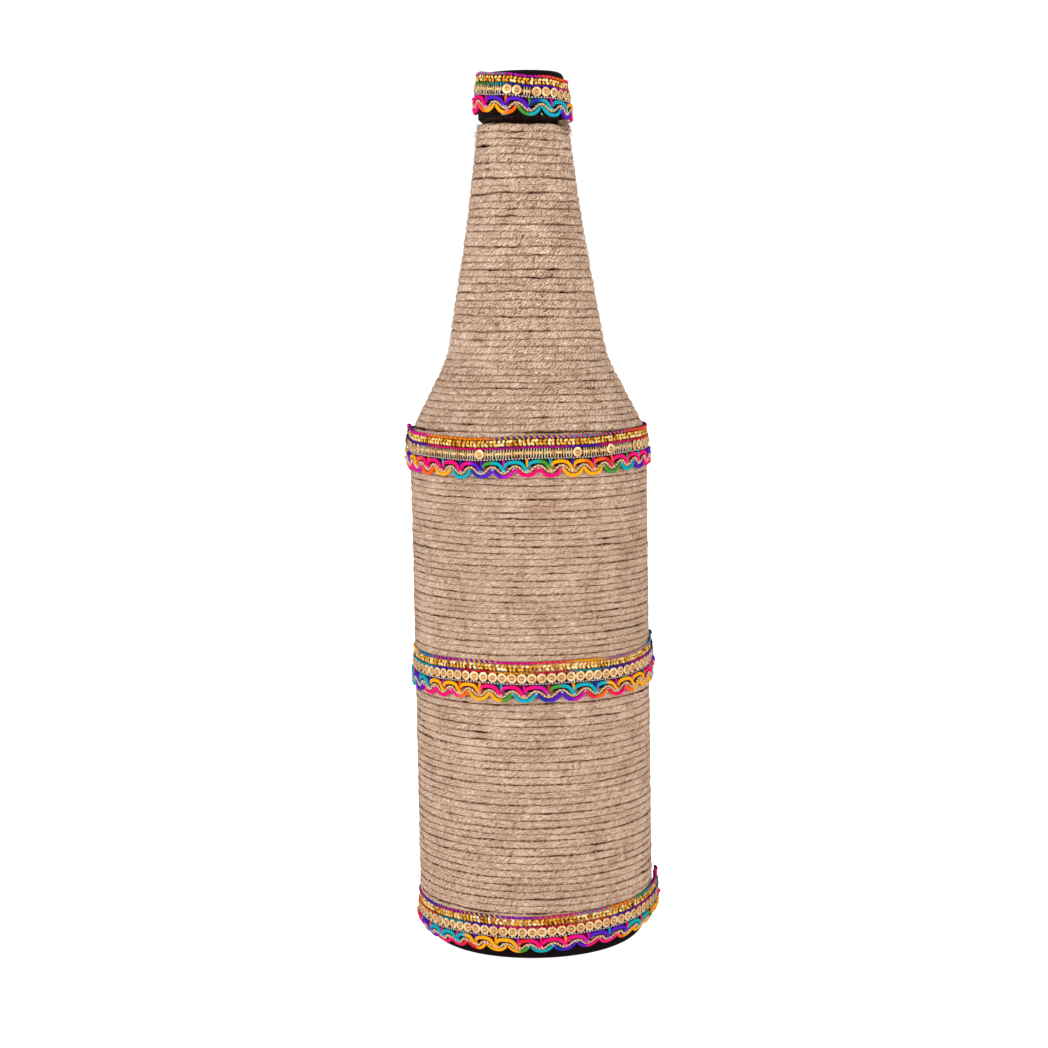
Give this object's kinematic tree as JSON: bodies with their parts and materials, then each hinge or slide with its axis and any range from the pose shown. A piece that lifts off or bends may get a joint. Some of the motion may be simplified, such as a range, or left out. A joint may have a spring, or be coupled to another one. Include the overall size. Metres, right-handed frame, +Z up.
{
  "type": "decorative bottle",
  "caption": "Long-neck glass bottle close-wound with jute twine and dressed with scalloped, sequinned lace trims at the mouth, shoulder, waist and base; open mouth.",
  "frame": {"origin": "centre of the bearing ring that the bottle stands on", "axes": "+Z up along the bottle's axis, -Y towards the viewer, +X to the viewer's right"},
  "size_m": [0.0798, 0.0798, 0.2794],
  "materials": {
    "glass": "blown amber-black bottle glass, glossy",
    "jute": "natural jute twine, matt and hairy",
    "ground_tape": "woven ground with gold stitching",
    "dyed_cord": "space-dyed rayon cord, low sheen",
    "gold_zari": "metallised gold thread",
    "gold_sequin": "metallised gold, flat discs",
    "silver_cord": "silver and white twisted thread",
    "satin_cord": "space-dyed satin cord, silky"
  },
  "bodies": {
    "root": {"glass_bottle": "glass", "jute_twine": "jute", "neck_tape": "ground_tape", "neck_top_cord": "dyed_cord", "neck_zari_braid": "gold_zari", "neck_mid_cord": "dyed_cord", "neck_sequins": "gold_sequin", "neck_edge_cord": "silver_cord", "neck_upper_scallops": "satin_cord", "neck_gold_wave": "gold_zari", "neck_lower_scallops": "satin_cord", "shoulder_tape": "ground_tape", "shoulder_top_cord": "dyed_cord", "shoulder_zari_braid": "gold_zari", "shoulder_mid_cord": "dyed_cord", "shoulder_sequins": "gold_sequin", "shoulder_edge_cord": "silver_cord", "shoulder_upper_scallops": "satin_cord", "shoulder_gold_wave": "gold_zari", "shoulder_lower_scallops": "satin_cord", "waist_tape": "ground_tape", "waist_top_cord": "dyed_cord", "waist_zari_braid": "gold_zari", "waist_mid_cord": "dyed_cord", "waist_sequins": "gold_sequin", "waist_edge_cord": "silver_cord", "waist_upper_scallops": "satin_cord", "waist_gold_wave": "gold_zari", "waist_lower_scallops": "satin_cord", "base_tape": "ground_tape", "base_top_cord": "dyed_cord", "base_zari_braid": "gold_zari", "base_mid_cord": "dyed_cord", "base_sequins": "gold_sequin", "base_edge_cord": "silver_cord", "base_upper_scallops": "satin_cord", "base_gold_wave": "gold_zari", "base_lower_scallops": "satin_cord"}
  },
  "joints": []
}
